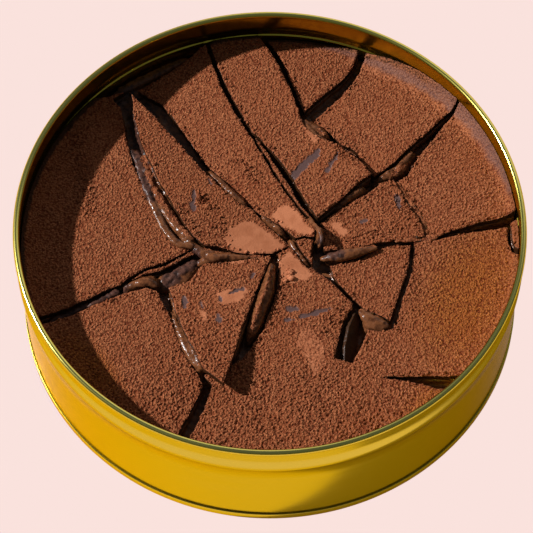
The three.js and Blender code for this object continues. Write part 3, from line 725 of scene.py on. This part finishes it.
def add_rope(work, points):
    """Adds a closed rope of round rings along the points to the bmesh."""
    rings = []
    for i, (x, y, crest, half) in enumerate(points):
        before, after = points[max(0, i - 1)], points[min(len(points) - 1, i + 1)]
        run = hypot(after[0] - before[0], after[1] - before[1])
        across = ((before[1] - after[1]) / run, (after[0] - before[0]) / run)
        ring = []
        for k in range(ROPE_SIDES):
            angle = 2 * pi * k / ROPE_SIDES
            out, up = half * cos(angle), half * (sin(angle) - 1)
            place = ((x + out * across[0]) * MM, (y + out * across[1]) * MM, (crest + up) * MM)
            ring.append(work.verts.new(place))
        rings.append(ring)
    for one, other in zip(rings, rings[1:]):
        for k in range(ROPE_SIDES):
            m = (k + 1) % ROPE_SIDES
            work.faces.new((one[k], one[m], other[m], other[k]))
    work.faces.new(rings[0])
    work.faces.new(rings[-1])


def hex_colour(name, default, description="As sRGB hex"):
    """A setting that holds a colour."""
    return bpy.props.StringProperty(name=name, description=description, default=default)


def amount(name, description, default, subtype="NONE"):
    """A setting that holds a number."""
    return bpy.props.FloatProperty(name=name, description=description, default=default, subtype=subtype)


def length(name, description, millimetres):
    """A setting that holds a length."""
    return amount(name, description, millimetres * MM, "DISTANCE")


def bearing(name, description, degrees):
    """A setting that holds an angle."""
    return amount(name, description, radians(degrees), "ANGLE")


class CakeTinSettings(bpy.types.PropertyGroup):
    """The tin's colours and roundness."""

    gold: hex_colour("Gold", "#D3BC43", "Lacquer colour as sRGB hex")
    gold_edge: hex_colour("Gold, edge-on", "#E7C67C", "Its tint seen at a flat angle, as sRGB hex")
    # The crest's colour is a painted highlight along the rolled rim
    painted_crest_highlight: hex_colour("Thin lacquer", "#E8DC78", "Colour of the sharpest folds, as sRGB hex")
    sides: bpy.props.IntProperty(name="Sides", description="Steps round the tin", default=240, min=48)


class CakeShellSettings(bpy.types.PropertyGroup):
    """The cocoa shell's grain and colours."""

    quad: length("Quad size", "Size of the shell's quads", 0.28)
    grain_width: length("Grain width", "Width of a clump of cocoa", 0.8)
    grain_depth: length("Grain depth", "How far the clumps stand up", 0.34)
    lump_width: length("Lump width", "Width of the shell's slow swells", 9)
    lump_depth: length("Lump depth", "Height of the shell's slow swells", 0.5)
    # The pits' colour is painted shade, and the tops' colour is partly painted light, over the cocoa's own
    # tone
    cocoa_pit_shade: hex_colour("Cocoa, pits", "#602508")
    cocoa_mid: hex_colour("Cocoa, patches", "#854422")
    cocoa_top_light: hex_colour("Cocoa, tops", "#AB6842")
    cocoa_ochre: hex_colour("Yellower cocoa", "#FFF8B8", "Tint as sRGB hex")
    cocoa_pressed: hex_colour("Cocoa, pressed", "#B16D4A")
    bare_chocolate: hex_colour("Bare chocolate", "#58403C")
    # Partly the chocolate's own colour, partly painted shade in the cracks
    broken: hex_colour("Broken chocolate", "#38200F")


class CakeCreamSettings(bpy.types.PropertyGroup):
    """The cream's fineness and colours."""

    quad: length("Quad size", "Size of the cream's quads", 0.66)
    swell: length("Swell", "How far the banks press out to the shell", 0.5)
    cream: hex_colour("Smeared cream", "#74462A")
    cream_dark: hex_colour("Smeared cream, streaks", "#4E2B18")
    torn: hex_colour("Torn cream", "#56362B")
    torn_dark: hex_colour("Torn cream, hollows", "#2C1914")


class CakeCrumbSettings(bpy.types.PropertyGroup):
    """The loose crumbs along the cracks."""

    crumbs: amount("Crumbs", "Crumbs to a square metre of crumbled shell", 9e5)
    smallest_crumb: length("Smallest crumb", "Radius of the smallest crumbs", 0.25)
    largest_crumb: length("Largest crumb", "Radius of the largest crumbs", 0.85)
    clods: amount("Clods", "Clods to a square metre of rubble", 1.2e5)
    smallest_clod: length("Smallest clod", "Radius of the smallest clods", 0.8)
    largest_clod: length("Largest clod", "Radius of the largest clods", 1.8)


class CakeStageSettings(bpy.types.PropertyGroup):
    """The floor, the lights and the camera."""

    floor: hex_colour("Floor", "#FAE2DD")
    key: amount("Key light", "Strength of the key light", 5.2)
    sky: amount("Fill light", "Strength of the even light", 0.105)
    window: amount("Window", "Strength of the soft side light", 0.75)
    azimuth: bearing("Key azimuth", "Direction the key comes from", 168)
    elevation: bearing("Key elevation", "Height of the key", 35.3)


def finished(piece, slot, *nodes):
    """Puts the piece on the root body, in the place of its CAD nodes if it has any."""
    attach(piece, "root")
    if nodes:
        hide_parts(*nodes)


class CAKE_OT_tin_body(bpy.types.Operator):
    """Builds the tin's wall with its bead and rolled rim"""

    bl_idname = "cake.tin_body"
    bl_label = "Tin wall"

    def execute(self, context):
        settings = context.scene.cake_tin
        piece = turned("tin_wall", tin_body_outline(), settings.sides)
        piece.data.materials.append(gold_lacquer(settings))
        finished(piece, "gold_tinplate", "tin_body")
        return {"FINISHED"}


class CAKE_OT_tin_base(bpy.types.Operator):
    """Builds the tin's bottom panel and seam"""

    bl_idname = "cake.tin_base"
    bl_label = "Tin base"

    def execute(self, context):
        piece = turned("tin_bottom", tin_base_outline(), context.scene.cake_tin.sides)
        piece.data.materials.append(bpy.data.materials["gold_lacquered_tinplate"])
        finished(piece, "gold_tinplate", "tin_base")
        return {"FINISHED"}


class CAKE_OT_cream(bpy.types.Operator):
    """Builds the cream under the shell, with its banks, ropes and hollows in the cracks"""

    bl_idname = "cake.cream"
    bl_label = "Cream"

    def execute(self, context):
        settings = context.scene.cake_cream
        mesh = merged_copy("cake_cream", "cream_rough")
        work = bmesh.new()
        work.from_mesh(mesh)
        whole = work.verts[:] + work.edges[:] + work.faces[:]
        cut = (0, 0, CREAM_CUT_MM * MM)
        bmesh.ops.bisect_plane(work, geom=whole, plane_co=cut, plane_no=(0, 0, 1), clear_inner=True)
        bmesh.ops.holes_fill(work, edges=[edge for edge in work.edges if edge.is_boundary], sides=0)
        for rope in ROPES:
            add_rope(work, rope)
        bmesh.ops.recalc_face_normals(work, faces=work.faces)
        work.to_mesh(mesh)
        work.free()
        piece = remeshed(mesh, "cream", settings.quad)
        places, normals = corners(piece.data)
        height = places[:, 2]
        inside = ramp(0.1, 0.6, CAKE_RADIUS_MM - np.hypot(places[:, 0], places[:, 1]))
        shown = ramp(CREAM_CUT_MM + 0.6, CREAM_CUT_MM + 1.2, height) * inside
        bank = ramp(33.4, 34.4, height) * (1 - ramp(39.8, 41, height)) * inside
        places[:, :2] += normals[:, :2] * bank[:, None] * settings.swell / MM
        move_corners(piece.data, places)
        torn = on_strokes(places, TORN)
        dusted = on_strokes(places, DUSTED) * ramp(36, 37, height)
        low = 1 - ramp(40.2, 41.4, height)
        relief = shown * (0.45 + 1.1 * torn * low + dusted)
        store(piece.data, relief=relief, torn=torn, dusted=dusted)
        material = chocolate_cream(settings, context.scene.cake_shell)
        roughen(piece, [1.7 * MM, 0.5 * MM, 5 * MM, 0.9 * MM], (0.3, 0.1, 0.7), material)
        places, _ = corners(piece.data)
        places[places[:, 2] < CREAM_CUT_MM + 0.5, 2] = CREAM_FOOT_MM
        move_corners(piece.data, places)
        clear_underside(piece, lambda face: face.calc_center_median().z < (CREAM_FOOT_MM + 0.1) * MM)
        piece.data.shade_smooth()
        finished(piece, "chocolate_cream", "cake_cream")
        return {"FINISHED"}


def mark_shard(mesh, outline, plane):
    """Shapes a shard's edge, lip, chips and scrapes, and stores where its cocoa is thick, yellower, darker
    along the wall, pressed, scraped, on the sides of the break (dark, partly as painted shade) or crumbly.
    Gives its greatest depth in millimetres."""
    places, normals = corners(mesh)
    below = plane[0] * places[:, 0] + plane[1] * places[:, 1] + plane[2] - places[:, 2]
    lip = lip_distance(outline, places)
    radius = np.hypot(places[:, 0], places[:, 1])
    azimuth = np.degrees(np.arctan2(places[:, 1], places[:, 0]))
    azimuth = np.where(azimuth < -110, azimuth + 360, azimuth)
    width = np.interp(azimuth, *zip(*MARGIN))
    far = ramp(44, 50, azimuth)
    top = ramp(0.3, 0.75, normals[:, 2]) * (1 - ramp(0.3, 0.9, below))
    under = ramp(0.4, 0.8, -normals[:, 2])
    # Every face off the top takes the dark brown that is partly painted shade
    broken = 1 - top
    faint = 1 - 0.45 * in_ovals(places, [FAINT_PRESS])
    pressed = in_outlines(places, PRESSED, 0.5) * top * faint
    waver = 0.5 * wander(places, 3, 41) + 0.25 * wander(places, 0.9, 42)
    edge = radius - (CAKE_RADIUS_MM - width) + waver
    # A band along the wall is made darker, with the dark brown of the break
    damp = ramp(-1.9, -1.1, radius - CAKE_RADIUS_MM + 0.35 * wander(places, 0.9, 46)) * top
    margin = 0.55 * ramp(-1.6, 0.6, edge) * ramp(0.3, 0.8, width) * (top - damp * far)
    scrapes = on_strokes(places, SCRAPED) * top
    scraped = np.maximum(scrapes, margin)
    crumbled = in_ovals(places, CRUMBLED) * top
    chips = ramp(0.2, 0.55, wander(places, 1.3, 43))
    chipped = chips * (1 - ramp(0.5, 1.8, lip)) * crumbled
    crumbly = np.maximum(0.7 * (1 - ramp(0.6, 2.2, lip)), crumbled) * top
    uneven = 1 + 0.3 * wander(places, 9, 44) + 0.6 * crumbled
    for *oval, strength in CLUMPED:
        uneven += strength * in_ovals(places, [oval], 0.5)
    near_bare = ramp(-7, -1, edge) * ramp(1.5, 3, width)
    uneven *= 1 - 0.7 * near_bare
    off_lip = ramp(0.2, 0.9, lip)
    clean_lip = off_lip + (1 - off_lip) * (0.3 + 0.7 * crumbled)
    relief = top * uneven * clean_lip * (1 - 0.9 * pressed) * (1 - 0.92 * scraped)
    relief += 0.8 * broken
    relief *= (1 - under) * ramp(0, 0.5, CAKE_RADIUS_MM + 0.1 - radius)
    climb = np.interp(azimuth, *zip(*CLIMB))
    reach = 3.4 + 0.3 * np.abs(climb)
    lift = climb * np.clip((radius - (CAKE_RADIUS_MM - reach)) / reach, 0, 1) ** 2
    places[:, 2] += lift * (1 - ramp(0.5, 2, below))
    cut = LIP_DROP_MM * (1 - ramp(0, 0.7, lip))
    places[:, 2] -= (cut + CHIP_DEPTH_MM * chipped + SCRAPE_DEPTH_MM * scrapes) * top
    move_corners(mesh, places)
    store(mesh, relief=relief, ochre=in_ovals(places, OCHRE, 0.6), damp=damp * (0.3 + 0.65 * far))
    store(mesh, pressed=np.maximum(pressed, 0.5 * near_bare * top))
    store(mesh, scraped=scraped, broken=broken, crumbly=crumbly)
    return below.max()


class CAKE_OT_shell(bpy.types.Operator):
    """Builds every shard of the cocoa-dusted shell"""

    bl_idname = "cake.shell"
    bl_label = "Cocoa shell"

    def execute(self, context):
        settings = context.scene.cake_shell
        material = cocoa_shell(settings)
        sizes = [getattr(settings, name.replace(" ", "_").lower()) for name in RELIEF_SIZES]
        for number, node in enumerate(SHELL_NODES):
            flat = merged_copy(node, node + "_flat")
            plane = top_plane(flat)
            outline = flat.copy()
            piece = remeshed(flat, node.replace("shell_", "shard_"), settings.quad)
            deepest = mark_shard(piece.data, outline, plane)
            bpy.data.meshes.remove(outline)
            roughen(piece, sizes, (0.1 * number, 0.07 * number, 0.0), material)

            def hidden(face, a=plane[0], b=plane[1], c=plane[2] - deepest + 0.35):
                x, y, z = face.calc_center_median() / MM
                return z < a * x + b * y + c and face.normal.z < -0.5

            clear_underside(piece, hidden)
            piece.data.shade_smooth()
            finished(piece, "cocoa_shell", node)
        return {"FINISHED"}


class CAKE_OT_crumbs(bpy.types.Operator):
    """Scatters loose crumbs and clods of the shell along its broken edges"""

    bl_idname = "cake.crumbs"
    bl_label = "Crumbs"

    def execute(self, context):
        settings = context.scene.cake_crumbs
        material = bpy.data.materials["cocoa_dusted_chocolate"]
        tree = crumb_tree()
        shards = [item for item in context.scene.objects if item.name.startswith("shard_")]
        whole = bmesh.new()
        crumbs = (settings.crumbs, settings.smallest_crumb, settings.largest_crumb, 5)
        clods = (settings.clods, settings.smallest_clod, settings.largest_clod, 8)
        for kind in (crumbs, clods):
            values = dict(zip(("Crumbs per square metre", "Smallest", "Largest", "Seed"), kind))
            for shard in shards:
                ground = put_in_scene("crumb_ground", shard.data.copy())
                if kind == clods:
                    places, normals = corners(ground.data)
                    up = ramp(0.3, 0.75, normals[:, 2])
                    store(ground.data, crumbly=in_ovals(places, RUBBLE) * up)
                run_tree(ground, tree, {**values, "Material": material})
                loose = ground.data
                whole.from_mesh(loose)
                bpy.data.objects.remove(ground)
                bpy.data.meshes.remove(loose)
        mesh = bpy.data.meshes.new("loose_crumbs")
        whole.to_mesh(mesh)
        whole.free()
        mesh.materials.append(material)
        mesh.shade_smooth()
        finished(put_in_scene("loose_crumbs", mesh), "cocoa_shell")
        return {"FINISHED"}


class CAKE_OT_flake(bpy.types.Operator):
    """Builds the flake that has dropped into the hole on the near side"""

    bl_idname = "cake.flake"
    bl_label = "Sunken flake"

    def execute(self, context):
        piece = remeshed(merged_copy("shell_sunken_flake", "flake_rough"), "sunken_flake", 0.3 * MM)
        count = len(piece.data.vertices)
        # The whole flake takes the dark brown of the break, partly painted shade where it lies sunk
        store(piece.data, relief=np.full(count, 0.7), broken=np.ones(count))
        material = bpy.data.materials["cocoa_dusted_chocolate"]
        roughen(piece, [1.4 * MM, 0.3 * MM, 4 * MM, 0.5 * MM], (0.2, 0.5, 0.4), material)
        piece.data.shade_smooth()
        finished(piece, "cocoa_shell", "shell_sunken_flake")
        return {"FINISHED"}


class CAKE_OT_stage(bpy.types.Operator):
    """Builds the floor, the lights and the camera"""

    bl_idname = "cake.stage"
    bl_label = "Stage"

    def execute(self, context):
        scene = context.scene
        settings = scene.cake_stage
        scene.view_settings.view_transform = "Standard"
        pale = to_linear(settings.floor)
        shaded = [0.775 * channel for channel in pale[:3]] + [1]
        # The floor's glow stands for the light of a wide pale room on its shaded part
        glowing = {"Base Color": shaded, "Roughness": 0.9, "Emission Strength": 0.256}
        even = {"Base Color": (0, 0, 0, 1), "Specular IOR Level": 0, "Emission Strength": 1}
        reach = 3
        square = [(-reach, -reach, 0), (reach, -reach, 0), (reach, reach, 0), (-reach, reach, 0)]
        planes = []
        for name, finish, values in (("floor", "pale_floor", glowing), ("backdrop", "even_backdrop", even)):
            mesh = bpy.data.meshes.new(name)
            mesh.from_pydata(square, [], [(0, 1, 2, 3)])
            material, tree, shader = painted(finish)
            set_inputs(tree, shader, {**values, "Emission Color": pale})
            mesh.materials.append(material)
            planes.append(put_in_scene(name, mesh))
        floor, backdrop = planes
        floor.visible_camera = False
        backdrop.location.z = -0.5 * MM
        for ray in ("diffuse", "glossy", "shadow"):
            setattr(backdrop, "visible_" + ray, False)
        sun = bpy.data.lights.new("key", "SUN")
        sun.energy = settings.key
        sun.angle = radians(2)
        level = cos(settings.elevation)
        x, y = level * cos(settings.azimuth), level * sin(settings.azimuth)
        toward = Vector((x, y, sin(settings.elevation)))
        put_in_scene("key", sun).rotation_euler = toward.to_track_quat("Z", "Y").to_euler()
        world = bpy.data.worlds.new("even_light")
        world.use_nodes = True
        sky = world.node_tree
        upward = add(sky, "TexCoord", out="Generated")
        # The room is brighter towards a wide window low down at the far right
        facing = add(sky, "VectorMath", [upward, (0.34, 0.84, 0.42)], out="Value", operation="DOT_PRODUCT")
        window = add(sky, "MapRange", [facing, 0.8, 0.93])
        even, side = settings.sky, settings.window
        values = {6: (0.85 * even, even, 1.15 * even, 1), 7: (side, 0.95 * side, 0.9 * side, 1)}
        glow = add(sky, "Mix", {"Factor": window, **values}, out=2, data_type="RGBA")
        set_inputs(sky, sky.nodes["Background"], {"Color": glow})
        scene.world = world
        camera_data = bpy.data.cameras.new("camera")
        camera_data.lens = CAMERA_LENS_MM
        camera_data.shift_x = CAMERA_SHIFT_PIXELS / PHOTO_SIDE_PIXELS
        camera_data.clip_end = 10
        camera = put_in_scene("camera", camera_data)
        camera.location = (0, -CAMERA_BACK_MM * MM, CAMERA_HEIGHT_MM * MM)
        camera.rotation_euler = (radians(90 - CAMERA_DOWN_DEGREES), 0, 0)
        scene.camera = camera
        return {"FINISHED"}


class CAKE_PT_panel(bpy.types.Panel):
    """Lists the cake's pieces and their settings"""

    bl_label = "Chocolate cake"
    bl_idname = "CAKE_PT_panel"
    bl_space_type = "VIEW_3D"
    bl_region_type = "UI"
    bl_category = "Cake"

    def draw(self, context):
        for operator in OPERATORS:
            self.layout.operator(operator.bl_idname)
        for group in SETTINGS:
            settings = getattr(context.scene, group)
            box = self.layout.box()
            for name in settings.__annotations__:
                box.prop(settings, name)


SETTINGS = {
    "cake_tin": CakeTinSettings,
    "cake_shell": CakeShellSettings,
    "cake_cream": CakeCreamSettings,
    "cake_crumbs": CakeCrumbSettings,
    "cake_stage": CakeStageSettings,
}
OPERATORS = [
    CAKE_OT_tin_body,
    CAKE_OT_tin_base,
    CAKE_OT_cream,
    CAKE_OT_shell,
    CAKE_OT_crumbs,
    CAKE_OT_flake,
    CAKE_OT_stage,
]


def register():
    for name, group in SETTINGS.items():
        bpy.utils.register_class(group)
        setattr(bpy.types.Scene, name, bpy.props.PointerProperty(type=group))
    for item in OPERATORS + [CAKE_PT_panel]:
        bpy.utils.register_class(item)


def unregister():
    for item in reversed(OPERATORS + [CAKE_PT_panel]):
        bpy.utils.unregister_class(item)
    for name, group in SETTINGS.items():
        delattr(bpy.types.Scene, name)
        bpy.utils.unregister_class(group)


def main():
    register()
    bpy.ops.cake.tin_body()
    bpy.ops.cake.tin_base()
    bpy.ops.cake.cream()
    bpy.ops.cake.shell()
    bpy.ops.cake.crumbs()
    bpy.ops.cake.flake()
    bpy.ops.cake.stage()


if __name__ == "__main__":
    main()
